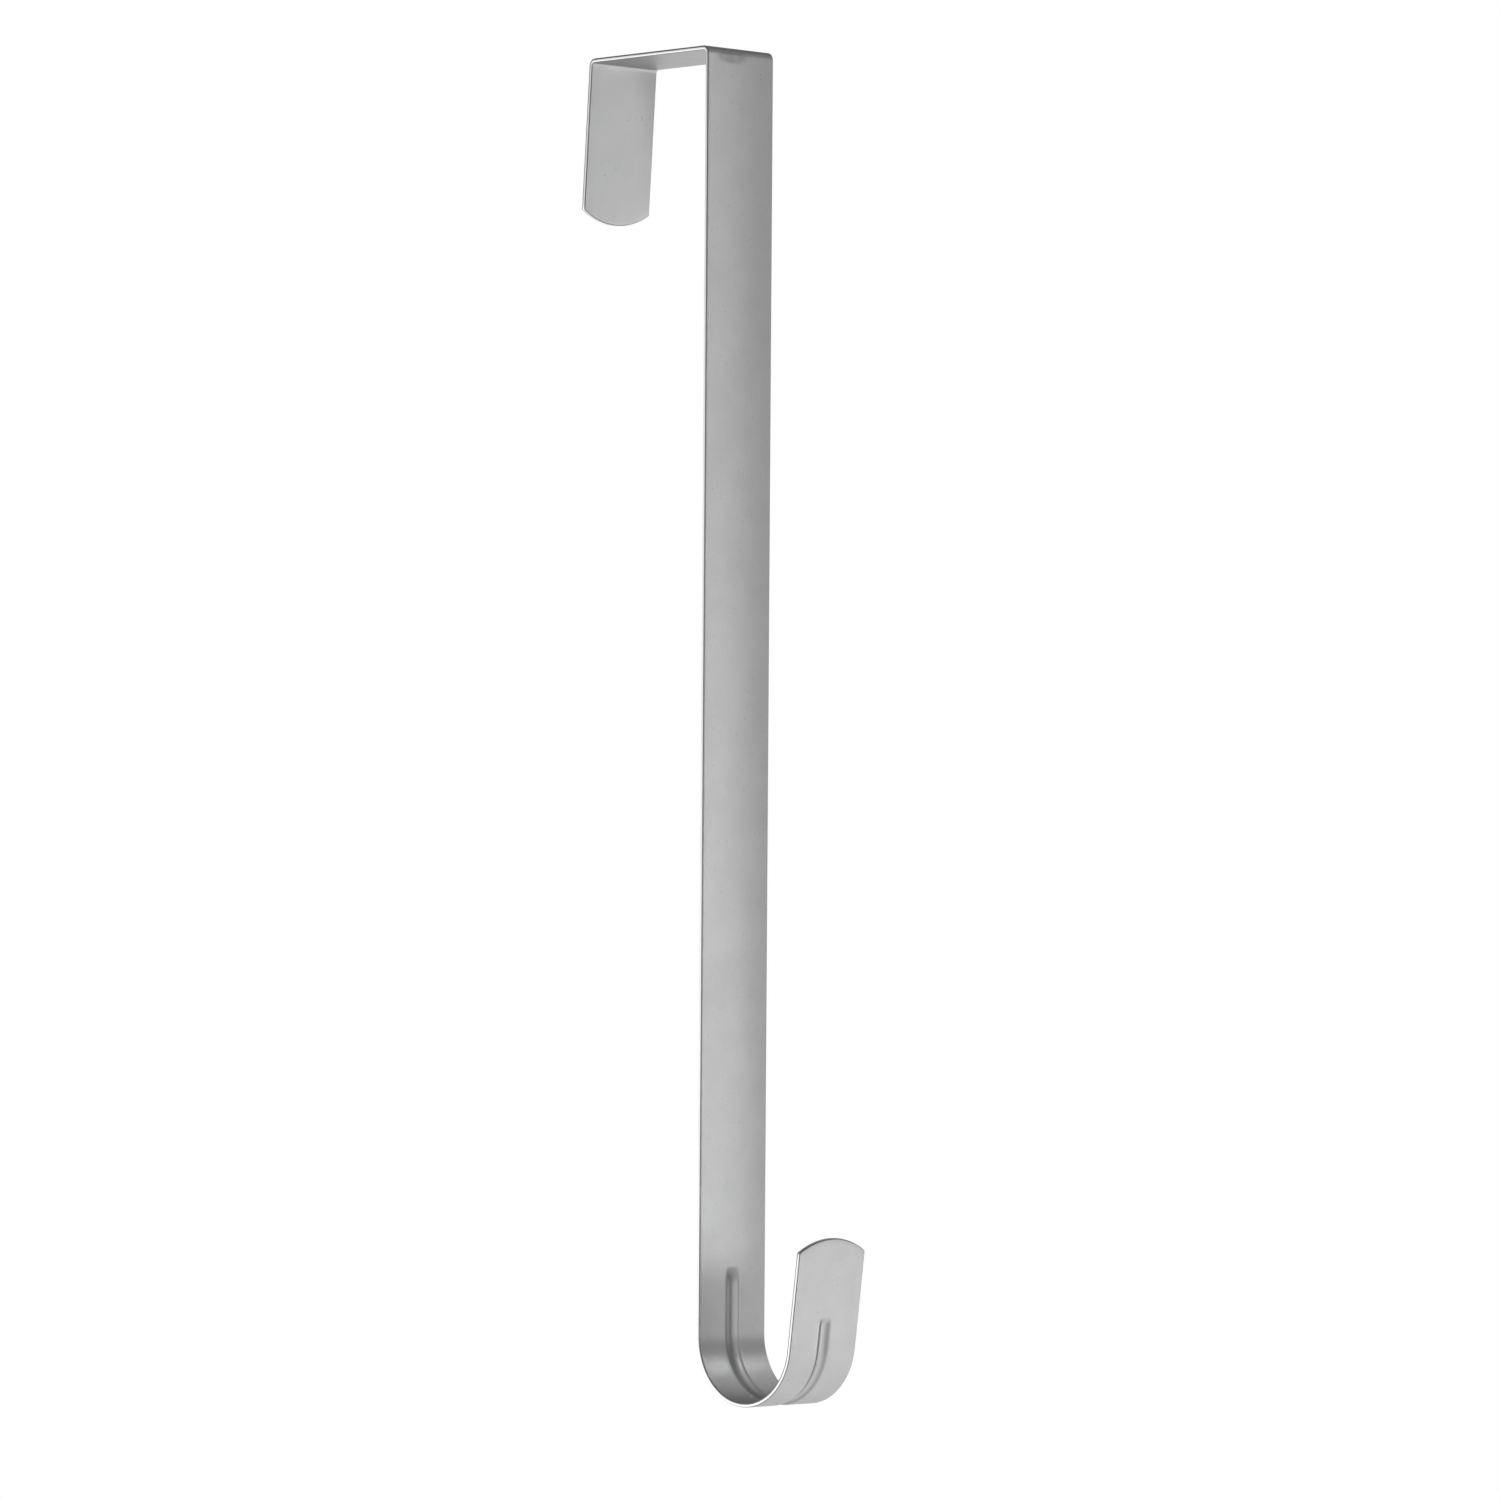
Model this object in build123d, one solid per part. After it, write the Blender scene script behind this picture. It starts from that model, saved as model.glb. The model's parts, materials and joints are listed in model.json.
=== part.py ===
from build123d import *
import os
from math import cos, pi, radians, tan

# Over-door wreath hanger: one steel strip, folded over the door top and rolled into a ribbed hook.
# The strip runs from a short tongue behind the door, over the door's top edge and down the door's
# face to a J hook. A bead pressed along the middle of the hook stiffens its curve: it stands up on
# the inside of the hook and leaves a groove on the outside. Both ends are cut to a shallow arc.
# Millimetres, +Z up. The origin is the middle of the bridge's underside, where the hanger sits on
# the door. X runs across the strip, the hook opens towards -Y and the tongue hangs at +Y.

# The sheet strip
STRIP_WIDTH = 25.4
SHEET = 1.2
EDGE_ROUND = 0.3        # softened edge of the blanked strip
TIP_RISE = 3.8          # height of the arc that both ends are cut to
TIP_CORNER_ROUND = 0.6  # corner between a side and the arc of a tip, seen flat on

# The folds over the door
OVERALL_HEIGHT = 381.0
DOOR_GAP = 47.0         # clear depth between the stem and the tongue at the door top
BEND_RADIUS = 1.0       # inside of the two folds
TONGUE_SPLAY = 3.8      # degrees that the tongue opens past square
TONGUE_SIDE = 41.9      # straight side of the tongue, from the door top to the corner of its tip

# The hook
HOOK_RADIUS = 17.6      # inside of the curve
HOOK_LEAN = 7.6         # degrees that the hook's free leg leans out from upright
HOOK_LEG_SIDE = 27.6    # straight side of the free leg, from the curve to the corner of its tip

# The pressed bead
RIDGE_WIDTH = 5.8       # of the bead, on the inside of the hook
GROOVE_WIDTH = 5.0      # of the hollow behind it, on the outside
BEAD_HEIGHT = 0.85
BEAD_UP_STEM = 14.5     # full bead above the start of the curve
BEAD_UP_LEG = 7.0       # full bead past the end of the curve
STEM_RUN_OUT = 5.0      # length over which the bead fades into the stem
LEG_RUN_OUT = 2.4       # length over which it fades into the free leg
CROWN_EASE = 0.65       # share of the half width that stays level with the crown
FOOT_EASE = 0.3         # share of the half width that stays level with the sheet
RUN_OUT_SPANS = 3       # spans of a fade


def flat_section():
    """Cross-section of the plain strip: local x across it, local y from the door side outwards."""
    return Pos(0, SHEET / 2) * RectangleRounded(STRIP_WIDTH, SHEET, EDGE_ROUND)


def beaded_section(bead_height):
    """Cross-section where the bead is pressed: a groove in the door side and a wider ridge over it."""
    side = STRIP_WIDTH / 2
    flat = side - EDGE_ROUND
    top = SHEET - EDGE_ROUND

    def flank(way, level, foot):
        """One side of the bead, from its foot at a level of the sheet up to the crown."""
        crown = level + bead_height
        eased_foot = way * foot * (1 - FOOT_EASE)
        eased_crown = way * foot * CROWN_EASE
        return Bezier((way * foot, level), (eased_foot, level), (eased_crown, crown), (0, crown))

    def rounded_side(way):
        """One cut edge of the strip, with its two softened corners."""
        return [
            RadiusArc((way * flat, 0), (way * side, EDGE_ROUND), -way * EDGE_ROUND),
            Line((way * side, EDGE_ROUND), (way * side, top)),
            RadiusArc((way * side, top), (way * flat, SHEET), -way * EDGE_ROUND),
        ]

    outline = [*rounded_side(1), *rounded_side(-1)]
    for level, foot in ((0, GROOVE_WIDTH / 2), (SHEET, RIDGE_WIDTH / 2)):
        for way in (1, -1):
            outline.append(Line((way * flat, level), (way * foot, level)))
            outline.append(flank(way, level, foot))
    return make_face(outline)


class StripPen:
    """Lays the strip down stretch by stretch, from a plane whose z axis points along the strip."""

    def __init__(self, plane):
        self.plane = plane
        self.stretches = []

    def run(self, length, section):
        """A straight stretch."""
        self.stretches.append(extrude(self.plane * section, amount=length, dir=self.plane.z_dir))
        self.plane = self.plane.offset(length)

    def fold(self, pivot_height, angle, section):
        """A bend about a line across the strip, at a height above the door side of the sheet."""
        pivot = self.plane.from_local_coords(Vector(0, pivot_height, 0))
        across = self.plane.x_dir if pivot_height < 0 else -self.plane.x_dir
        self.stretches.append(revolve(self.plane * section, Axis(pivot, across), angle))
        turn = Axis((0, 0, 0), across)
        origin = pivot + (self.plane.origin - pivot).rotate(turn, angle)
        self.plane = Plane(origin, x_dir=self.plane.x_dir, z_dir=self.plane.z_dir.rotate(turn, angle))

    def fade(self, length, start_height, end_height):
        """A straight stretch along which the bead eases from one height to another."""
        sections = []
        for step in range(RUN_OUT_SPANS + 1):
            share = step / RUN_OUT_SPANS
            eased = (1 - cos(pi * share)) / 2
            height = start_height + (end_height - start_height) * eased
            sections.append(self.plane.offset(length * share) * beaded_section(height))
        self.stretches.append(loft(sections))
        self.plane = self.plane.offset(length)

    def tip(self, side_length):
        """The last stretch, ended by a shallow arc."""
        side = STRIP_WIDTH / 2
        outline = [
            Polyline((-side, side_length), (-side, 0), (side, 0), (side, side_length)),
            ThreePointArc((side, side_length), (0, side_length + TIP_RISE), (-side, side_length)),
        ]
        blank = make_face(outline)
        corners = blank.vertices().filter_by(lambda vertex: vertex.Y > side_length / 2)
        door_side = Plane(self.plane.origin, x_dir=self.plane.x_dir, z_dir=-self.plane.y_dir)
        blank = door_side * fillet(corners, TIP_CORNER_ROUND)
        plate = extrude(blank, amount=SHEET, dir=self.plane.y_dir)
        joint = plate.faces().sort_by(Axis(self.plane.origin, self.plane.z_dir))[0]
        rim = plate.edges().filter_by(door_side) - joint.edges()
        self.stretches.append(fillet(rim, EDGE_ROUND))


def front_of_hanger():
    """Half the bridge, the stem down the door's face and the hook."""
    flat = flat_section()
    beaded = beaded_section(BEAD_HEIGHT)
    hook_centre_drop = OVERALL_HEIGHT - HOOK_RADIUS - 2 * SHEET
    pen = StripPen(Plane((0, 0, 0), x_dir=(1, 0, 0), z_dir=(0, -1, 0)))
    pen.run(DOOR_GAP / 2 - BEND_RADIUS, flat)
    pen.fold(-BEND_RADIUS, 90, flat)
    pen.run(hook_centre_drop - BEND_RADIUS - BEAD_UP_STEM - STEM_RUN_OUT, flat)
    pen.fade(STEM_RUN_OUT, 0, BEAD_HEIGHT)
    pen.run(BEAD_UP_STEM, beaded)
    pen.fold(SHEET + HOOK_RADIUS, 180 - HOOK_LEAN, beaded)
    pen.run(BEAD_UP_LEG, beaded)
    pen.fade(LEG_RUN_OUT, BEAD_HEIGHT, 0)
    pen.tip(HOOK_LEG_SIDE - BEAD_UP_LEG - LEG_RUN_OUT)
    return pen.stretches


def tongue_of_hanger():
    """The other half of the bridge and the tongue that hangs behind the door."""
    flat = flat_section()
    turn = 90 - TONGUE_SPLAY
    setback = BEND_RADIUS * tan(radians(turn / 2))
    pen = StripPen(Plane((0, 0, 0), x_dir=(-1, 0, 0), z_dir=(0, 1, 0)))
    pen.run(DOOR_GAP / 2 - setback, flat)
    pen.fold(-BEND_RADIUS, turn, flat)
    pen.tip(TONGUE_SIDE - setback)
    return pen.stretches


def hanger():
    """The whole strip as one solid."""
    first, *others = front_of_hanger() + tongue_of_hanger()
    return first.fuse(*others).clean()


os.makedirs("parts", exist_ok=True)
export_step(hanger(), "parts/hanger_strip.step")
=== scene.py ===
"""The finished over-door wreath hanger: its satin metal strip, and the plain studio that it is shown in."""

import json
import math
from collections import namedtuple

import bpy
from bpy.props import FloatProperty, FloatVectorProperty, PointerProperty
from mathutils import Euler, Matrix, Vector


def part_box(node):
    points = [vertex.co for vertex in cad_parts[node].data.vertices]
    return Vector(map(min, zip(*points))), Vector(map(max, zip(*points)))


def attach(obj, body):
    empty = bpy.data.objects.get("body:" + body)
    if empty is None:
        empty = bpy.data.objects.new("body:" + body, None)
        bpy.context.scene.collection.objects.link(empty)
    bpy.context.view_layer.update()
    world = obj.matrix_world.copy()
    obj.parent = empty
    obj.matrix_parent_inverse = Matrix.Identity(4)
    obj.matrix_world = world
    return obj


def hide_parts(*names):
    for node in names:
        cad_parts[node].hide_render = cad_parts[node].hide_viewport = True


bl_info = {
    "name": "Over-door wreath hanger",
    "version": (1, 0, 0),
    "blender": (4, 5, 0),
    "location": "View3D > Sidebar > Hanger",
    "description": "Builds the satin metal strip of an over-door wreath hanger and a plain studio round it",
    "category": "Object",
}

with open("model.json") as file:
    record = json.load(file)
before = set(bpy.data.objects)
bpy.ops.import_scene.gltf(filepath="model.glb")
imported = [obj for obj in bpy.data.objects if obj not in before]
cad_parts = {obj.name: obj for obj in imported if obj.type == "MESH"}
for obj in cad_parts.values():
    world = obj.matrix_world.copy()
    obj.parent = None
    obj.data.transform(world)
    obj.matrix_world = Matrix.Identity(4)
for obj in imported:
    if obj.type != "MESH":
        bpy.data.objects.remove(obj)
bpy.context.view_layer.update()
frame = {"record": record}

# The strip in the frame: its node, its box, and the mounts where it meets the door and the wreath
STRIP_NODE = "hanger_strip"
STRIP_LOW, STRIP_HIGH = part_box(STRIP_NODE)
MOUNTS = {mount["name"]: Vector(mount["pos_m"]) for mount in frame["record"]["mounts"]}

# Directions and units
ACROSS = Vector((1, 0, 0))
DOORWARDS = Vector((0, 1, 0))
UP = Vector((0, 0, 1))
MM = 0.001
QUARTER_TURN = math.pi / 2

# How finely the strip is divided
STEM_SPACING = 4 * MM
TIP_SPACING = 1.5 * MM
MARK_SPACING = 0.4 * MM
BEAD_SPACING = 1 * MM
STEM_FADE_SPACING = BEAD_SPACING / 2
LEG_FADE_SPACING = BEAD_SPACING / 3
SAME_PLACE = 1e-7  # stations closer than this are one
FOLD_STEP = math.radians(9)
HOOK_STEP = math.radians(3)
CORNER_ANGLES = (90, 70, 50, 30, 10)  # degrees round the corner of a tip
FLAT_COLUMNS = 10
BEAD_COLUMNS = 9
ROUND_STEPS = 4

# Painted shade along the cut edge, dark lines that stand in for the shading of its rounding: where they
# start on its rounded corners, and how they fade
FRONT_LINE_TURN = math.radians(50)
DOOR_LINE_TURN = math.radians(50)
FAINT_LINE = 0.3
LINE_FADE_START = 0.8  # share of the line's reach

# The press mark under the fold: how steeply it gets to its full depth
MARK_STEEPNESS = 1.4

# The satin finish: how fine its noises are, to the metre, and which stretch of each one shows
PATCH_SCALE = 140
PATCH_DETAIL = 3
PATCH_RANGE = (0.35, 0.7)
GRAIN_SCALE = 2600
GRAIN_DETAIL = 2
GRAIN_ROUGHNESS = 0.6
SPECK_SCALE = 900
SPECK_CHOICE = (0.72, 1.0)
SPECK_RIM = (0.12, 0.26)
MARK_DARK_SCALE = 420
MARK_DARK_DETAIL = 2
MARK_DARK_RANGE = (0.35, 0.65)
SHEEN_RANGE = (0.3, 0.7)

# How much dark colour the press mark, the painted shade of the folds and the groove's flanks, partly
# stretched metal, and the painted shade of the edge's line mix in, and over which part of the turn into the
# cut edge the bare metal comes in
MARK_DARK_SHARE = (0.36, 0.54)
STRETCH_SHADE_SHARE = 0.6
EDGE_SHADE_SHARE = 0.85
BARE_RANGE = (0.5, 0.9)

# How far the patches and the grain change the roughness, and how deep the grain is
PATCH_ROUGHENING = 0.015
GRAIN_ROUGHENING = 0.02
GRAIN_DEPTH = 0.03 * MM

# The floor and the backdrop, in metres from the hanger, left and right as the camera sees them
FLOOR_REACH = 40.0
BACKDROP_AWAY = 2.2
BACKDROP_LEFT = 0.5
BACKDROP_RIGHT = 2.5
BACKDROP_HEIGHT = 0.95
BACKDROP_GREY = (0.8, 0.8, 0.8, 1)
WHITE = (1, 1, 1, 1)

# The soft lamps
SOFT_SPREAD = math.pi
UPPER_LAMP_PLACE = Vector((0.95, -0.25, 0.4))
UPPER_LAMP_TARGET = Vector((0, 0, -0.37))
UPPER_LAMP_WIDTH = 1.4
UPPER_LAMP_HEIGHT = 1.2
RIM_LAMP_TARGET = Vector((0, 0, -0.3))
RIM_LAMP_AWAY = 0.8
RIM_LAMP_SIZE = 0.8

# The camera, where a fit to the hanger's edges puts it
CAMERA_PLACE = Vector((-1.3563, -1.4372, -0.2356))
SENSOR_WIDTH = 36.0
VIEW_REACH = 50.0

# One narrow beam: a point on its axis, the way that its lamp faces, as for a camera, its width and height,
# and how far back the lamp stands
Beam = namedtuple("Beam", "middle heading tilt roll width height away")

# The beams, which all come from the right front
GRID_SPREAD = math.radians(1)
FRONT = math.radians(52)
FRONT_ASIDE = Vector((math.cos(FRONT), math.sin(FRONT), 0))
STEM_BEAM = Beam(
    middle=FRONT_ASIDE * -0.0272 + UP * -0.161,
    heading=FRONT,
    tilt=math.radians(2),
    roll=math.radians(0.5),
    width=0.0176,
    height=0.362,
    away=1.0,
)
TONGUE_BEAM = Beam(
    middle=FRONT_ASIDE * 0.0138 + UP * -0.022,
    heading=FRONT,
    tilt=math.radians(2),
    roll=math.radians(15.5),
    width=0.026,
    height=0.055,
    away=0.64,
)
LEG_BEAM = Beam(
    middle=FRONT_ASIDE * -0.05 + UP * -0.357,
    heading=FRONT,
    tilt=math.radians(12),
    roll=0,
    width=0.027,
    height=0.07,
    away=0.64,
)
HOOK_BEAM = Beam(
    middle=Vector((0, -0.043, -0.356)),
    heading=math.radians(64),
    tilt=math.radians(-31),
    roll=0,
    width=0.044,
    height=0.06,
    away=1.3,
)


def length_setting(name, description, default):
    """A length that a user can change."""
    return FloatProperty(name=name, description=description, default=default, min=0,
                         unit="LENGTH", precision=5)


def angle_setting(name, description, degrees):
    """An angle that a user can change."""
    return FloatProperty(name=name, description=description, default=math.radians(degrees), subtype="ANGLE")


def share_setting(name, description, default):
    """A share from 0 to 1 that a user can change."""
    return FloatProperty(name=name, description=description, default=default, min=0, max=1,
                         subtype="FACTOR")


def strength_setting(name, description, default):
    """The strength of a lamp, which a user can change."""
    return FloatProperty(name=name, description=description, default=default, min=0)


def colour_setting(name, description, grey):
    """A colour that a user can change, grey by default."""
    return FloatVectorProperty(name=name, description=description, default=(grey, grey, grey, 1), size=4,
                               min=0, max=1, subtype="COLOR")


class HangerSizes(bpy.types.PropertyGroup):
    """Sizes of the bent strip"""

    width: length_setting("Strip width", "Width of the strip", STRIP_HIGH.x - STRIP_LOW.x)
    sheet: length_setting("Sheet", "Thickness of the sheet", STRIP_HIGH.z)
    edge_round: length_setting("Edge round", "Radius along the cut edges", 0.3 * MM)
    # How far the painted shade along the cut edge reaches down it
    painted_edge_shade: length_setting("Edge line", "How far the dark line reaches down the cut edge", 0.5 * MM)
    tip_rise: length_setting("Tip rise", "Height of the arc that both ends are cut to", 3.8 * MM)
    tip_corner: length_setting("Tip corner", "Radius between a side and the arc of a tip", 0.6 * MM)
    door_gap: length_setting("Door gap", "Clear depth over the door", -2 * MOUNTS["door_face"].y)
    bend_radius: length_setting("Bend radius", "Inside radius of the two folds over the door", 1.0 * MM)
    tongue_side: length_setting("Tongue side", "Side of the tongue, from door top to tip", 41.9 * MM)
    tongue_splay: angle_setting("Tongue splay", "How far the tongue opens past square", 3.8)
    hook_lean: angle_setting("Hook lean", "How far the free leg of the hook leans out", 7.6)
    hook_leg_side: length_setting("Hook leg", "Straight side of the free leg, up to its tip", 27.6 * MM)
    ridge_width: length_setting("Ridge width", "Width of the pressed bead, inside the hook", 5.8 * MM)
    groove_width: length_setting("Groove width", "Width of the hollow behind the bead", 5.0 * MM)
    bead_height: length_setting("Bead height", "Height of the pressed bead", 0.85 * MM)
    bead_up_stem: length_setting("Bead up stem", "Full bead above the hook's curve", 14.5 * MM)
    bead_up_leg: length_setting("Bead up leg", "Full bead past the hook's curve", 7.0 * MM)
    stem_run_out: length_setting("Stem run-out", "Length over which the bead fades into the stem", 5.0 * MM)
    leg_run_out: length_setting("Leg run-out", "Length over which the bead fades into the leg", 2.4 * MM)
    crown_ease: share_setting("Crown ease", "Share of the bead that stays level with its crown", 0.65)
    foot_ease: share_setting("Foot ease", "Share of the bead that stays level with the sheet", 0.3)
    # Painted shade on the groove's flanks, partly stretched metal: how dark they get, 1 as at a fold
    groove_stretch_shade: share_setting("Groove stretch", "Stretch of the groove's flanks, 1 as at a fold", 0.8)
    mark_offset: length_setting("Mark offset", "How far the press mark is left of the middle", 3.6 * MM)
    mark_width: length_setting("Mark width", "Width of the press mark", 14.0 * MM)
    mark_height: length_setting("Mark height", "How far the press mark reaches below the fold", 2.5 * MM)
    mark_depth: length_setting("Mark depth", "Depth of the press mark", 0.05 * MM)


class HangerFinish(bpy.types.PropertyGroup):
    """Finish of the metal"""

    silver: colour_setting("Silver", "Colour of the satin face", 0.57)
    dull_silver: colour_setting("Dull silver", "Colour of the duller patches", 0.55)
    cut_silver: colour_setting("Cut edge", "Colour of the bare cut edge", 0.78)
    # Colour of the painted shade along the cut edge, on the front of the folds and on the groove's flanks
    painted_shade_grey: colour_setting("Edge line", "Colour of the edge's dark line and of stretched metal", 0.1)
    speck_grey: colour_setting("Specks", "Colour of the specks and the press mark", 0.26)
    edge_tint: colour_setting("Grazing tint", "Shine that is left where a face is seen edge on", 0.7)
    roughness: share_setting("Roughness", "Roughness of the satin face", 0.43)
    cut_roughness: share_setting("Cut roughness", "Roughness of the bare cut edge", 0.35)
    grain: share_setting("Grain", "Strength of the fine grain", 0.12)


class HangerStudio(bpy.types.PropertyGroup):
    """Floor, backdrop, light and camera"""

    floor_drop: length_setting("Floor drop", "Depth of the floor below the hook", 0.24)
    floor_colour: colour_setting("Floor", "Colour of the floor", 0.82)
    floor_glow: share_setting("Floor glow", "How far the seen floor is lifted towards white", 0.8)
    room_colour: colour_setting("Room", "Plain light of the room", 0.25)
    key_light: strength_setting("Key light", "Strength of the stem's lamp", 0.142)
    tongue_light: strength_setting("Tongue light", "Strength of the tongue's lamp", 0.105)
    leg_light: strength_setting("Leg light", "Strength of the free leg's lamp", 0.052)
    hook_light: strength_setting("Hook light", "Strength of the hook's lamp", 0.15)
    upper_light: strength_setting("Upper light", "Radiance of the lamp at the upper right", 0.3)
    rim_light: strength_setting("Rim light", "Radiance of the lamp at the left back", 0.78)
    camera_azimuth: angle_setting("Camera azimuth", "Heading of the camera, 0 looking along +Y", -43.95)
    camera_pitch: angle_setting("Camera pitch", "How far the camera looks up", 1.14)
    camera_roll: angle_setting("Camera roll", "How far the camera is turned about its own axis", 0.395)
    camera_lens: FloatProperty(name="Lens", description="Focal length", default=167.0, unit="CAMERA")


# One line across the strip: its middle on the door side of the sheet, the way that the strip runs there,
# the way out of the sheet on the other side, the share of the bead's height, how far it is towards a tip,
# from -1 at the tongue's to 1 at the hook's, and how much painted shade, partly stretched metal, the front
# of a tight fold gets
Station = namedtuple("Station", "place along outward bead tip stretch")

# One point across the strip: its distance from the middle on the front of the sheet and on the door side,
# and the share of the bead's height there
Column = namedtuple("Column", "front door bead")


def eased(share):
    """A share from 0 to 1 that starts and ends gently."""
    return (1 - math.cos(math.pi * share)) / 2


def bezier(share, start, start_handle, end_handle, end):
    """One coordinate of a cubic curve."""
    rest = 1 - share
    started = rest**3 * start + 3 * rest**2 * share * start_handle
    return started + 3 * rest * share**2 * end_handle + share**3 * end


class StripWalk:
    """Walks along the door side of the strip and notes the stations that it passes."""

    def __init__(self, place, along):
        self.place = place
        self.along = along
        self.stations = []

    @property
    def outward(self):
        """The way out of the sheet, away from the door side."""
        return self.along.cross(ACROSS).normalized()

    def note(self, bead, tip=0, stretch=0):
        """Keep the present place, unless it is the last one again."""
        if self.stations and (self.stations[-1].place - self.place).length < SAME_PLACE:
            return
        station = Station(self.place.copy(), self.along.copy(), self.outward, bead, tip, stretch)
        self.stations.append(station)

    def straight(self, length, spacing, bead=(0, 0), tip=(0, 0)):
        """A straight stretch, along which the bead and the nearness of a tip change."""
        steps = max(1, round(length / spacing))
        start = self.place.copy()
        for step in range(steps + 1):
            share = step / steps
            self.place = start + self.along * (length * share)
            bead_here = bead[0] + (bead[1] - bead[0]) * eased(share)
            self.note(bead_here, tip[0] + (tip[1] - tip[0]) * share)

    def fold(self, pivot_height, angle, step_angle, bead=0):
        """A bend about a line at a height above the door side of the sheet."""
        pivot = self.place + self.outward * pivot_height
        arm = self.place - pivot
        along = self.along.copy()
        steps = max(1, round(angle / step_angle))
        over_door = pivot_height < 0
        sense = 1 if over_door else -1
        for step in range(steps + 1):
            share = step / steps
            turn = Matrix.Rotation(sense * angle * share, 3, "X")
            self.place = pivot + turn @ arm
            self.along = turn @ along
            # The front of a fold over the door gets painted shade, partly stretched metal
            self.note(bead, stretch=math.sin(math.pi * share) if over_door else 0)


def strip_stations(sizes):
    """Stations along the whole strip, from the tongue's tip to the hook's tip."""
    splay = sizes.tongue_splay
    tongue_turn = QUARTER_TURN - splay
    setback = sizes.bend_radius * math.tan(tongue_turn / 2)
    cradle = MOUNTS["hook_cradle"]
    hook_radius = -cradle.y - sizes.door_gap / 2 - sizes.sheet
    hook_centre_drop = -cradle.z - hook_radius + sizes.bead_height
    beaded = sizes.bead_up_stem + sizes.stem_run_out
    leg_rest = sizes.hook_leg_side - sizes.bead_up_leg - sizes.leg_run_out
    marked = 2 * sizes.mark_height

    up_tongue = Vector((0, -math.sin(splay), math.cos(splay)))
    tongue_corner = Vector((0, sizes.door_gap / 2, 0)) - up_tongue * sizes.tongue_side
    walk = StripWalk(tongue_corner, up_tongue)
    walk.straight(sizes.tongue_side - setback, TIP_SPACING, tip=(-1, 0))
    walk.fold(-sizes.bend_radius, tongue_turn, FOLD_STEP)
    walk.straight(sizes.door_gap - setback - sizes.bend_radius, STEM_SPACING)
    walk.fold(-sizes.bend_radius, QUARTER_TURN, FOLD_STEP)
    walk.straight(marked, MARK_SPACING)
    walk.straight(hook_centre_drop - sizes.bend_radius - marked - beaded, STEM_SPACING)
    walk.straight(sizes.stem_run_out, STEM_FADE_SPACING, bead=(0, 1))
    walk.straight(sizes.bead_up_stem, BEAD_SPACING, bead=(1, 1))
    walk.fold(sizes.sheet + hook_radius, math.pi - sizes.hook_lean, HOOK_STEP, bead=1)
    walk.straight(sizes.bead_up_leg, BEAD_SPACING, bead=(1, 1))
    walk.straight(sizes.leg_run_out, LEG_FADE_SPACING, bead=(1, 0))
    walk.straight(leg_rest, TIP_SPACING, tip=(0, 1))
    return walk.stations


class TipOutline:
    """Outline of a strip's end, set in from the cut edge by its round: an arc with rounded corners."""

    def __init__(self, sizes):
        half = sizes.width / 2
        arc_radius = (half**2 + sizes.tip_rise**2) / (2 * sizes.tip_rise)
        self.arc_centre = sizes.tip_rise - arc_radius
        self.arc_radius = arc_radius - sizes.edge_round
        self.corner_radius = sizes.tip_corner - sizes.edge_round
        self.corner_offset = half - sizes.tip_corner
        reach = arc_radius - sizes.tip_corner
        self.corner_centre = self.arc_centre + math.sqrt(reach**2 - self.corner_offset**2)
        self.corner_start = self.corner_offset * self.arc_radius / reach

    def rise(self, offset):
        """How far the end reaches at an offset from the strip's middle, and the way out of it there."""
        side = math.copysign(1, offset)
        away = abs(offset)
        if away > self.corner_start:
            from_centre = away - self.corner_offset
            up = math.sqrt(max(0, self.corner_radius**2 - from_centre**2))
            way_out = (side * from_centre / self.corner_radius, up / self.corner_radius)
            return self.corner_centre + up, way_out
        up = math.sqrt(self.arc_radius**2 - away**2)
        return self.arc_centre + up, (offset / self.arc_radius, up / self.arc_radius)


def strip_columns(sizes):
    """Columns across the strip, from one edge to the other, close together at the edges and on the bead."""
    tip = TipOutline(sizes)
    feet = (sizes.ridge_width / 2, sizes.groove_width / 2)
    half = []
    for angle in CORNER_ANGLES:
        offset = tip.corner_offset + tip.corner_radius * math.sin(math.radians(angle))
        half.append(Column(offset, offset, 0))
    start = half[-1].front
    for step in range(1, FLAT_COLUMNS):
        share = step / FLAT_COLUMNS
        half.append(Column(*[start + (foot - start) * share for foot in feet], 0))
    for step in range(BEAD_COLUMNS):
        share = step / BEAD_COLUMNS
        across = bezier(share, 1, 1 - sizes.foot_ease, sizes.crown_ease, 0)
        half.append(Column(*[foot * across for foot in feet], bezier(share, 0, 0, 1, 1)))
    mirrored = [Column(-column.front, -column.door, column.bead) for column in half]
    return [*mirrored, Column(0, 0, 1), *reversed(half)]


def press_mark(sizes, place):
    """Share of the press mark's depth at a place on the stem's front: half a lens hung from the fold."""
    if place.y > -sizes.door_gap / 2:
        return 0
    across = (place.x + sizes.mark_offset) / (sizes.mark_width / 2)
    below_fold = -sizes.bend_radius - place.z
    down = below_fold / (sizes.mark_height if below_fold > 0 else sizes.bend_radius)
    return eased(min(1, MARK_STEEPNESS * max(0, 1 - across**2 - down**2)))


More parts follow.
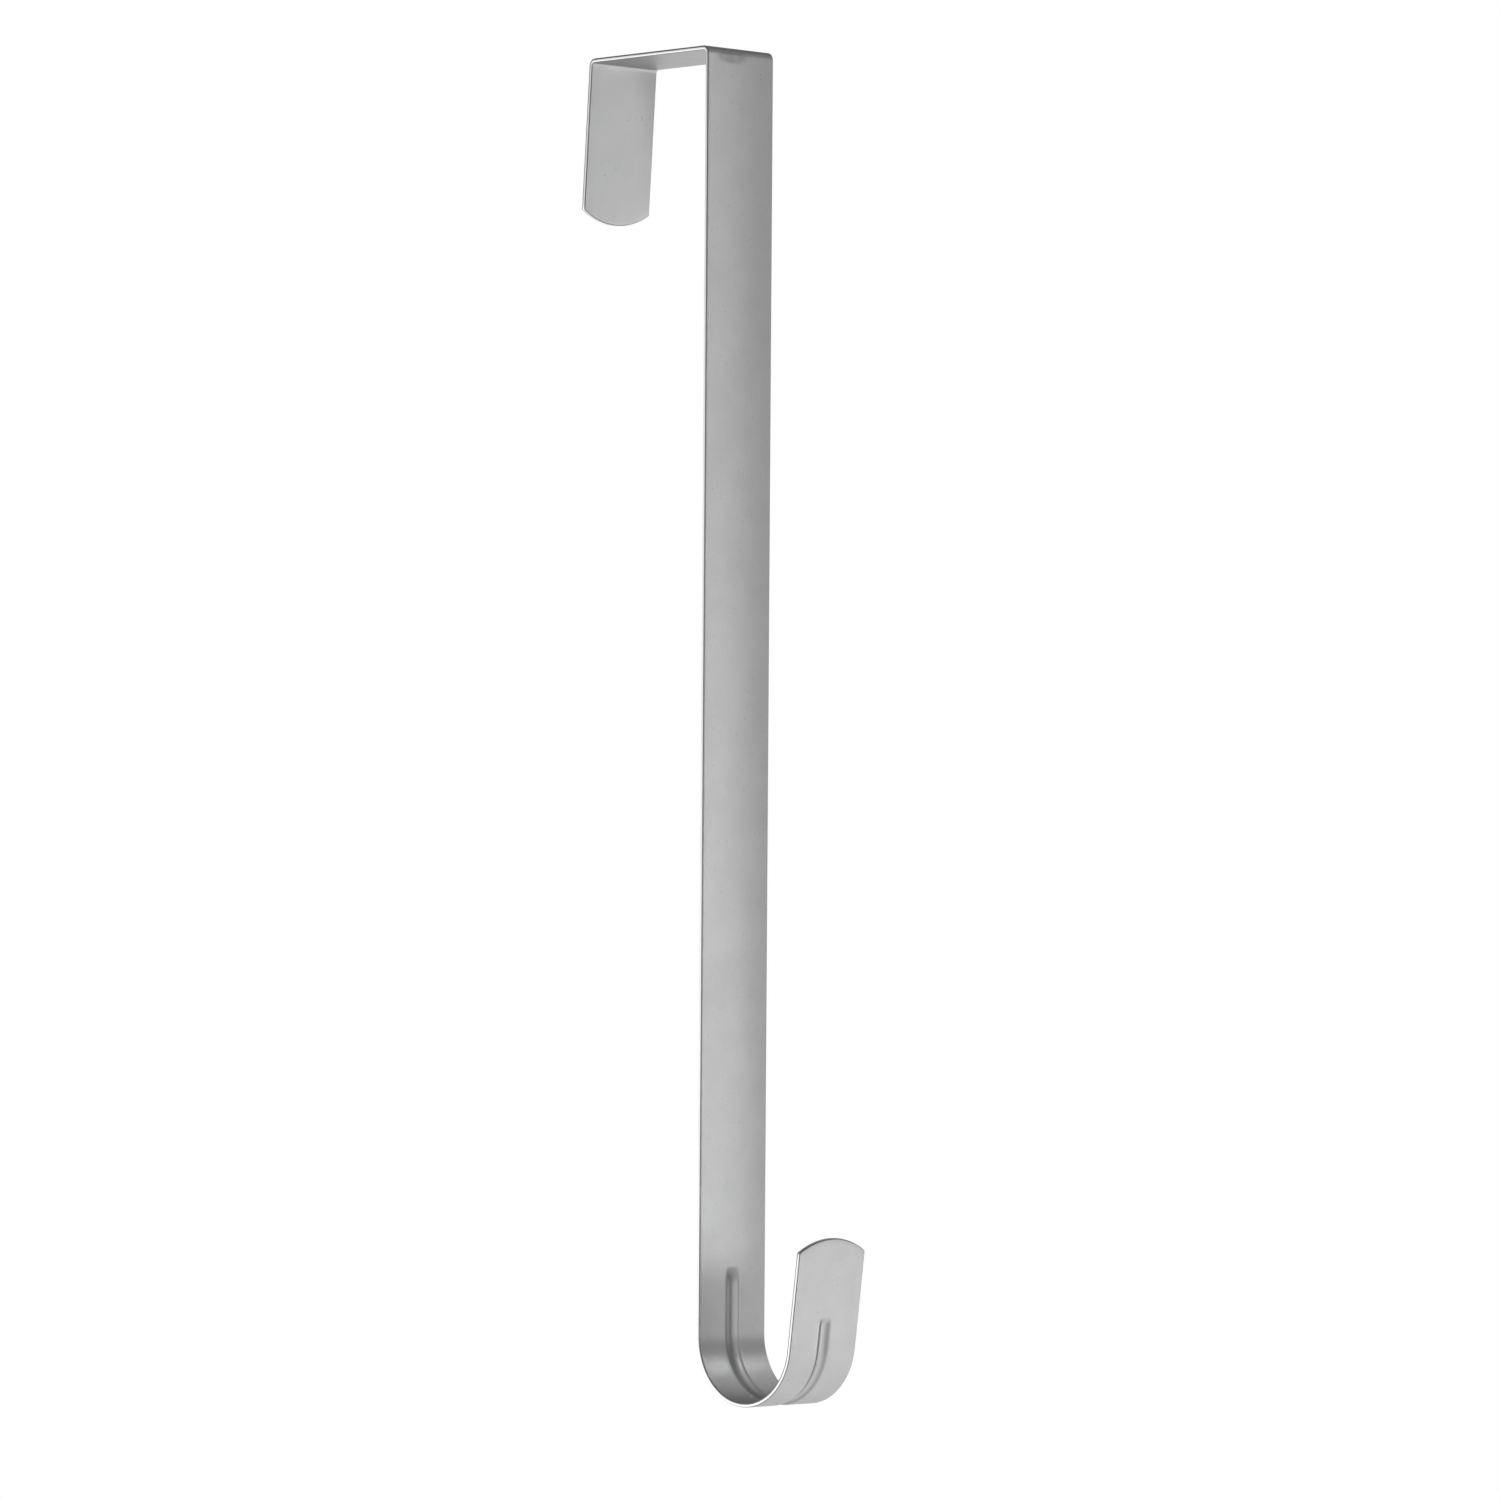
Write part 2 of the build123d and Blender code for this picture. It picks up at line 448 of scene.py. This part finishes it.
class StripMesh:
    """Gathers the points and faces of the strip: the sheet's two faces and the rounded rim between them."""

    def __init__(self, sizes):
        self.sizes = sizes
        self.stations = strip_stations(sizes)
        self.columns = strip_columns(sizes)
        self.tip = TipOutline(sizes)
        self.points = []
        self.faces = []
        # What each point carries for the finish
        self.cut = []
        self.lines = []
        self.marks = []
        self.stretch_shades = []

    def point(self, station, column, height):
        """A point of the sheet at a height above the door side."""
        offset = column.door + (column.front - column.door) * height / self.sizes.sheet
        reach = math.copysign(station.tip**2, station.tip) * self.tip.rise(offset)[0]
        lift = height + station.bead * column.bead * self.sizes.bead_height
        return station.place + ACROSS * offset + station.along * reach + station.outward * lift

    def stretch(self, station, column, height):
        """How far the press stretched the sheet, darkened as painted shade: the front of a tight fold, and
        the groove's flanks.
        """
        if height > 0:
            return station.stretch
        return self.sizes.groove_stretch_shade * station.bead * math.sin(math.pi * column.bead)

    def add_row(self, points, cut=0, line=0, stretch_shades=None):
        """Add points in a row, pressed in by the mark under the fold, and return their numbers."""
        first = len(self.points)
        for point in points:
            mark = press_mark(self.sizes, point)
            self.points.append(point + DOORWARDS * (mark * self.sizes.mark_depth))
            self.marks.append(mark)
            self.cut.append(cut)
            self.lines.append(line)
        self.stretch_shades += stretch_shades or [0] * len(points)
        return list(range(first, len(self.points)))

    def add_sheet_face(self, height):
        """One face of the sheet, as rows of numbers."""
        rows = []
        for station in self.stations:
            points = [self.point(station, column, height) for column in self.columns]
            stretch_shades = [self.stretch(station, column, height) for column in self.columns]
            rows.append(self.add_row(points, stretch_shades=stretch_shades))
        for row, after in zip(rows, rows[1:]):
            self.join(row, after)
        return rows

    def join(self, row, after):
        """Faces between two rows."""
        for first, second, third, fourth in zip(row, row[1:], after[1:], after):
            self.faces.append((first, second, third, fourth))

    def rim_places(self):
        """Station, column and way out at each point round the outline of the strip."""
        first, last = self.stations[0], self.stations[-1]
        left, right = self.columns[0], self.columns[-1]
        for station in self.stations[:-1]:
            yield station, right, ACROSS
        for column in reversed(self.columns[1:]):
            yield last, column, self.tip_way_out(last, column)
        for station in reversed(self.stations[1:]):
            yield station, left, -ACROSS
        for column in self.columns[:-1]:
            yield first, column, self.tip_way_out(first, column)

    def tip_way_out(self, station, column):
        """The way out of the outline at a tip."""
        across, along = self.tip.rise(column.front)[1]
        return ACROSS * across + station.along * (along * station.tip)

    def rim_numbers(self, rows):
        """Numbers of the outline's points on one face of the sheet, in the order of rim_places."""
        numbers = [row[-1] for row in rows[:-1]]
        numbers += reversed(rows[-1][1:])
        numbers += [row[0] for row in reversed(rows[1:])]
        numbers += rows[0][:-1]
        return numbers

    def add_rim(self, outer_rows, door_rows):
        """The rounded cut edge, from the outer face of the sheet to the door side."""
        places = list(self.rim_places())
        radius = self.sizes.edge_round
        shade_reach = self.sizes.painted_edge_shade
        turns = [QUARTER_TURN * step / ROUND_STEPS for step in range(1, ROUND_STEPS + 1)]
        rings = [self.rim_numbers(outer_rows)]
        for turn in turns:
            height = self.sizes.sheet - radius * (1 - math.cos(turn))
            # Painted shade along the rounding of the cut edge: a dark line that stands in for its shading
            line = 1 if turn > FRONT_LINE_TURN else FAINT_LINE
            rings.append(self.add_ring(places, height, radius * math.sin(turn), turn, line))
        for depth, line in ((LINE_FADE_START * shade_reach, 1), (shade_reach, 0)):
            rings.append(self.add_ring(places, self.sizes.sheet - depth, radius, turns[-1], line))
        for turn in reversed(turns):
            height = radius * (1 - math.cos(turn))
            line = 1 if turn < DOOR_LINE_TURN else 0
            rings.append(self.add_ring(places, height, radius * math.sin(turn), turn, line))
        rings.append(self.rim_numbers(door_rows))
        for ring, after in zip(rings, rings[1:]):
            self.join(ring + ring[:1], after + after[:1])

    def add_ring(self, places, height, reach, turn, line):
        """One ring of points round the rim, at a turn away from the face, in or out of the painted shade of
        the dark line.
        """
        points = []
        for station, column, way_out in places:
            points.append(self.point(station, column, height) + way_out * reach)
        return self.add_row(points, eased(min(1, turn / QUARTER_TURN)), line)

    def build(self, name):
        """The finished mesh."""
        outer_rows = self.add_sheet_face(self.sizes.sheet)
        door_rows = self.add_sheet_face(0)
        self.add_rim(outer_rows, door_rows)
        mesh = bpy.data.meshes.new(name)
        mesh.from_pydata(self.points, [], self.faces)
        # The bare cut edge, the painted shade along the edge, the press mark, and the painted shade of the
        # folds and the groove's flanks, partly stretched metal
        carried = {
            "cut_edge": self.cut,
            "painted_edge_shade": self.lines,
            "press_mark": self.marks,
            "stretch_and_painted_shade": self.stretch_shades,
        }
        for label, values in carried.items():
            attribute = mesh.attributes.new(label, "FLOAT", "POINT")
            attribute.data.foreach_set("value", values)
        mesh.validate()
        return mesh


def turn_faces_outwards(piece):
    """Make every face of a closed piece look outwards, and shade it smooth."""
    bpy.context.view_layer.objects.active = piece
    piece.select_set(True)
    bpy.ops.object.mode_set(mode="EDIT")
    bpy.ops.mesh.select_all(action="SELECT")
    bpy.ops.mesh.normals_make_consistent(inside=False)
    bpy.ops.object.mode_set(mode="OBJECT")
    piece.select_set(False)
    piece.data.shade_smooth()


class NodeSheet:
    """A material's nodes, added and linked in short lines."""

    # Numbers of the colour sockets of a mix node, which share their names with others
    MIX_SHARE = 0
    MIX_FIRST = 6
    MIX_SECOND = 7
    MIX_RESULT = 2

    def __init__(self, tree):
        self.tree = tree

    def add(self, kind, **inputs):
        """A node, with sockets set to values or linked to other nodes' sockets."""
        node = self.tree.nodes.new(kind)
        for name, value in inputs.items():
            self.set(node, name.replace("_", " "), value)
        return node

    def set(self, node, name, value):
        """Set one socket, or link it."""
        socket = node.inputs[name]
        if isinstance(value, bpy.types.NodeSocket):
            self.tree.links.new(value, socket)
        else:
            socket.default_value = value

    def noise(self, coordinate, scale, detail, roughness=0.5):
        """Noise from 0 to 1, about scale patches to the metre."""
        node = self.add("ShaderNodeTexNoise", Vector=coordinate, Scale=scale, Detail=detail,
                        Roughness=roughness)
        return node.outputs["Fac"]

    def attribute(self, name):
        """A value that the mesh carries at its points."""
        node = self.tree.nodes.new("ShaderNodeAttribute")
        node.attribute_name = name
        return node.outputs["Fac"]

    def remap(self, value, old_range, new_range=(0, 1)):
        """A value moved from one range to another, held at its ends."""
        node = self.add("ShaderNodeMapRange", Value=value)
        names = ("From Min", "From Max", "To Min", "To Max")
        for name, number in zip(names, (*old_range, *new_range)):
            node.inputs[name].default_value = number
        return node.outputs["Result"]

    def blend(self, share, first, second):
        """A mix of two colours."""
        node = self.tree.nodes.new("ShaderNodeMix")
        node.data_type = "RGBA"
        self.set(node, self.MIX_SHARE, share)
        self.set(node, self.MIX_FIRST, first)
        self.set(node, self.MIX_SECOND, second)
        return node.outputs[self.MIX_RESULT]

    def combine(self, operation, first, second):
        """Two values put together by a math operation."""
        node = self.tree.nodes.new("ShaderNodeMath")
        node.operation = operation
        self.set(node, 0, first)
        self.set(node, 1, second)
        return node.outputs[0]


def new_material(name):
    """An empty node material and its sheet of nodes."""
    material = bpy.data.materials.new(name)
    material.use_nodes = True
    material.node_tree.nodes.clear()
    return material, NodeSheet(material.node_tree)


def satin_colour(nodes, finish, place, patches, cut):
    """Colour of the metal: dull patches, dark specks, the darker press mark, painted shade on the folds and
    the groove's flanks that is partly stretched metal, the cut edge, and painted shade along the edge's
    line.
    """
    pits = nodes.add("ShaderNodeTexVoronoi", Vector=place, Scale=SPECK_SCALE)
    chosen = nodes.remap(pits.outputs["Color"], SPECK_CHOICE)
    specks = nodes.combine("MULTIPLY", chosen, nodes.remap(pits.outputs["Distance"], SPECK_RIM, (1, 0)))
    # The press mark is darker, in uneven patches
    mark_patches = nodes.remap(nodes.noise(place, MARK_DARK_SCALE, MARK_DARK_DETAIL), MARK_DARK_RANGE, MARK_DARK_SHARE)
    mark_darkening = nodes.combine("MULTIPLY", nodes.attribute("press_mark"), mark_patches)
    # Painted shade on the front of the folds and on the groove's flanks, partly stretched metal
    stretch_shading = nodes.combine("MULTIPLY", nodes.attribute("stretch_and_painted_shade"), STRETCH_SHADE_SHARE)
    # Painted shade along the cut edge's rounding
    painted_edge_shade = nodes.combine("MULTIPLY", nodes.attribute("painted_edge_shade"), EDGE_SHADE_SHARE)

    colour = nodes.blend(nodes.remap(patches, PATCH_RANGE), tuple(finish.silver), tuple(finish.dull_silver))
    colour = nodes.blend(specks, colour, tuple(finish.speck_grey))
    colour = nodes.blend(mark_darkening, colour, tuple(finish.speck_grey))
    colour = nodes.blend(stretch_shading, colour, tuple(finish.painted_shade_grey))
    colour = nodes.blend(nodes.remap(cut, BARE_RANGE), colour, tuple(finish.cut_silver))
    return nodes.blend(painted_edge_shade, colour, tuple(finish.painted_shade_grey))


def satin_roughness(nodes, finish, patches, grain, cut):
    """Roughness of the metal: it changes a little with the patches and the grain, and at the cut edge."""
    patchy_range = (finish.roughness - PATCH_ROUGHENING, finish.roughness + PATCH_ROUGHENING)
    patchy = nodes.remap(patches, SHEEN_RANGE, patchy_range)
    grainy = nodes.remap(grain, SHEEN_RANGE, (-GRAIN_ROUGHENING, GRAIN_ROUGHENING))
    cut_change = nodes.combine("MULTIPLY", cut, finish.cut_roughness - finish.roughness)
    return nodes.combine("ADD", nodes.combine("ADD", patchy, grainy), cut_change)


def satin_silver(finish):
    """Satin silver metal with a fine even grain and bright bare cut edges."""
    material, nodes = new_material("satin_silver")
    place = nodes.add("ShaderNodeTexCoord").outputs["Object"]
    cut = nodes.attribute("cut_edge")
    patches = nodes.noise(place, PATCH_SCALE, PATCH_DETAIL)
    grain = nodes.noise(place, GRAIN_SCALE, GRAIN_DETAIL, GRAIN_ROUGHNESS)
    colour = satin_colour(nodes, finish, place, patches, cut)
    roughness = satin_roughness(nodes, finish, patches, grain, cut)
    bump = nodes.add("ShaderNodeBump", Strength=finish.grain, Distance=GRAIN_DEPTH, Height=grain)
    metal = nodes.add("ShaderNodeBsdfPrincipled", Base_Color=colour, Metallic=1.0, Roughness=roughness,
                      Specular_Tint=tuple(finish.edge_tint), Normal=bump.outputs["Normal"])
    nodes.add("ShaderNodeOutputMaterial", Surface=metal.outputs["BSDF"])
    return material


class HANGER_OT_strip(bpy.types.Operator):
    """Build the bent strip with its rounded cut edges, pressed bead and satin finish"""

    bl_idname = "hanger.strip"
    bl_label = "Build strip"

    def execute(self, context):
        mesh = StripMesh(context.scene.hanger_sizes).build("satin_strip")
        strip = bpy.data.objects.new("satin_strip", mesh)
        context.scene.collection.objects.link(strip)
        turn_faces_outwards(strip)
        mesh.materials.append(satin_silver(context.scene.hanger_finish))
        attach(strip, "root")
        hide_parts(STRIP_NODE)
        return {"FINISHED"}


def seen_rays(nodes):
    """1 for the rays that show a surface to the camera, directly, in metal or through glass."""
    rays = nodes.tree.nodes.new("ShaderNodeLightPath")
    seen = nodes.combine("MAXIMUM", rays.outputs["Is Camera Ray"], rays.outputs["Is Glossy Ray"])
    return nodes.combine("MAXIMUM", seen, rays.outputs["Is Transmission Ray"])


def floor_material(colour, glow):
    """Pale floor, which is lifted towards white where it is seen and keeps its shadows."""
    material, nodes = new_material("pale_floor")
    matt = nodes.add("ShaderNodeBsdfDiffuse", Color=tuple(colour))
    lift = nodes.combine("MULTIPLY", seen_rays(nodes), glow)
    white = nodes.add("ShaderNodeEmission", Color=WHITE, Strength=lift)
    both = nodes.tree.nodes.new("ShaderNodeAddShader")
    nodes.set(both, 0, matt.outputs["BSDF"])
    nodes.set(both, 1, white.outputs["Emission"])
    nodes.add("ShaderNodeOutputMaterial", Surface=both.outputs["Shader"])
    return material


def backdrop_material():
    """White backdrop: pure white where it is seen directly, in metal or through glass."""
    material, nodes = new_material("white_backdrop")
    matt = nodes.add("ShaderNodeBsdfDiffuse", Color=BACKDROP_GREY)
    white = nodes.add("ShaderNodeEmission", Color=WHITE, Strength=1.0)
    mix = nodes.tree.nodes.new("ShaderNodeMixShader")
    nodes.set(mix, 0, seen_rays(nodes))
    nodes.set(mix, 1, matt.outputs["BSDF"])
    nodes.set(mix, 2, white.outputs["Emission"])
    nodes.add("ShaderNodeOutputMaterial", Surface=mix.outputs["Shader"])
    return material


def add_stage_panel(name, corners, material):
    """A flat four-cornered panel that belongs to the stage."""
    mesh = bpy.data.meshes.new(name)
    mesh.from_pydata(corners, [], [(0, 1, 2, 3)])
    mesh.materials.append(material)
    panel = bpy.data.objects.new(name, mesh)
    bpy.context.scene.collection.objects.link(panel)


def facing(heading, tilt, roll):
    """Turn of a camera or a lamp that looks along a heading, tilted up and rolled about its own axis."""
    return Euler((QUARTER_TURN + tilt, 0, heading)).to_matrix() @ Matrix.Rotation(roll, 3, "Z")


def add_lamp(name, place, turn, width, height, spread, energy):
    """A rectangular lamp that the camera doesn't see."""
    light = bpy.data.lights.new(name, "AREA")
    light.shape = "RECTANGLE"
    light.size = width
    light.size_y = height
    light.spread = spread
    light.energy = energy
    lamp = bpy.data.objects.new(name, light)
    lamp.matrix_world = Matrix.Translation(place) @ turn.to_4x4()
    lamp.visible_camera = False
    bpy.context.scene.collection.objects.link(lamp)


def add_soft_lamp(name, place, target, width, height, radiance):
    """A soft lamp that faces a target, as bright as a panel of the given radiance."""
    turn = (target - place).to_track_quat("-Z", "Y").to_matrix()
    add_lamp(name, place, turn, width, height, SOFT_SPREAD, radiance * math.pi * width * height)


def add_grid_lamp(name, beam, brightness):
    """A lamp with a grid, whose narrow beam lights only what stands straight before it."""
    turn = facing(beam.heading, beam.tilt, beam.roll)
    place = beam.middle + turn @ Vector((0, 0, beam.away))
    add_lamp(name, place, turn, beam.width, beam.height, GRID_SPREAD, brightness * beam.width * beam.height)


class HANGER_OT_stage(bpy.types.Operator):
    """Set out the floor, the white backdrop, the lamps and the camera"""

    bl_idname = "hanger.stage"
    bl_label = "Set stage"

    def execute(self, context):
        studio = context.scene.hanger_studio
        self.add_floor_and_backdrop(studio)
        self.add_light(context.scene, studio)
        self.add_camera(context.scene, studio)
        return {"FINISHED"}

    def add_floor_and_backdrop(self, studio):
        """A wide floor below the hanger, and a backdrop that stands on it behind the hanger."""
        level = UP * (STRIP_LOW.z - studio.floor_drop)
        out = ACROSS * FLOOR_REACH
        back = DOORWARDS * FLOOR_REACH
        corners = [level - out - back, level + out - back, level + out + back, level - out + back]
        add_stage_panel("floor", corners, floor_material(studio.floor_colour, studio.floor_glow))
        away = Vector((-math.sin(studio.camera_azimuth), math.cos(studio.camera_azimuth), 0))
        aside = Vector((away.y, -away.x, 0))
        foot = away * BACKDROP_AWAY + level
        rise = UP * BACKDROP_HEIGHT
        left = foot - aside * BACKDROP_LEFT
        right = foot + aside * BACKDROP_RIGHT
        add_stage_panel("backdrop", [left, right, right + rise, left + rise], backdrop_material())

    def add_light(self, scene, studio):
        """The plain light of the room, a narrow beam on each stretch of the strip, and two soft lamps."""
        world = bpy.data.worlds.new("room")
        world.use_nodes = True
        world.node_tree.nodes["Background"].inputs["Color"].default_value = tuple(studio.room_colour)
        scene.world = world
        add_grid_lamp("stem_lamp", STEM_BEAM, studio.key_light)
        add_grid_lamp("tongue_lamp", TONGUE_BEAM, studio.tongue_light)
        add_grid_lamp("leg_lamp", LEG_BEAM, studio.leg_light)
        add_grid_lamp("hook_lamp", HOOK_BEAM, studio.hook_light)
        add_soft_lamp("upper_lamp", UPPER_LAMP_PLACE, UPPER_LAMP_TARGET,
                      UPPER_LAMP_WIDTH, UPPER_LAMP_HEIGHT, studio.upper_light)
        # The way that the strip's left edge mirrors the camera's view
        left_back = Vector((math.sin(studio.camera_azimuth), math.cos(studio.camera_azimuth), 0))
        add_soft_lamp("rim_lamp", left_back * RIM_LAMP_AWAY + RIM_LAMP_TARGET, RIM_LAMP_TARGET,
                      RIM_LAMP_SIZE, RIM_LAMP_SIZE, studio.rim_light)

    def add_camera(self, scene, studio):
        """The camera, where the hanger is seen from its left and a little below its middle."""
        data = bpy.data.cameras.new("camera")
        data.sensor_width = SENSOR_WIDTH
        data.lens = studio.camera_lens
        data.clip_end = VIEW_REACH
        camera = bpy.data.objects.new("camera", data)
        turn = facing(studio.camera_azimuth, studio.camera_pitch, studio.camera_roll)
        camera.matrix_world = Matrix.Translation(CAMERA_PLACE) @ turn.to_4x4()
        scene.collection.objects.link(camera)
        scene.camera = camera
        scene.view_settings.view_transform = "Standard"


class HANGER_PT_sidebar(bpy.types.Panel):
    """Sizes, finish and studio of the hanger"""

    bl_idname = "HANGER_PT_sidebar"
    bl_label = "Wreath hanger"
    bl_space_type = "VIEW_3D"
    bl_region_type = "UI"
    bl_category = "Hanger"

    def draw(self, context):
        layout = self.layout
        scene = context.scene
        for settings in (scene.hanger_sizes, scene.hanger_finish, scene.hanger_studio):
            column = layout.column(align=True)
            for name in settings.__annotations__:
                column.prop(settings, name)
        layout.operator(HANGER_OT_strip.bl_idname)
        layout.operator(HANGER_OT_stage.bl_idname)


CLASSES = (HangerSizes, HangerFinish, HangerStudio, HANGER_OT_strip, HANGER_OT_stage, HANGER_PT_sidebar)


def register():
    """Register the classes and hang their settings on the scene."""
    for cls in CLASSES:
        bpy.utils.register_class(cls)
    bpy.types.Scene.hanger_sizes = PointerProperty(type=HangerSizes)
    bpy.types.Scene.hanger_finish = PointerProperty(type=HangerFinish)
    bpy.types.Scene.hanger_studio = PointerProperty(type=HangerStudio)


def unregister():
    """Take the settings off the scene and unregister the classes."""
    del bpy.types.Scene.hanger_studio
    del bpy.types.Scene.hanger_finish
    del bpy.types.Scene.hanger_sizes
    for cls in reversed(CLASSES):
        bpy.utils.unregister_class(cls)


def main():
    """Build the hanger and its stage."""
    register()
    bpy.ops.hanger.strip()
    bpy.ops.hanger.stage()


if __name__ == "__main__":
    main()
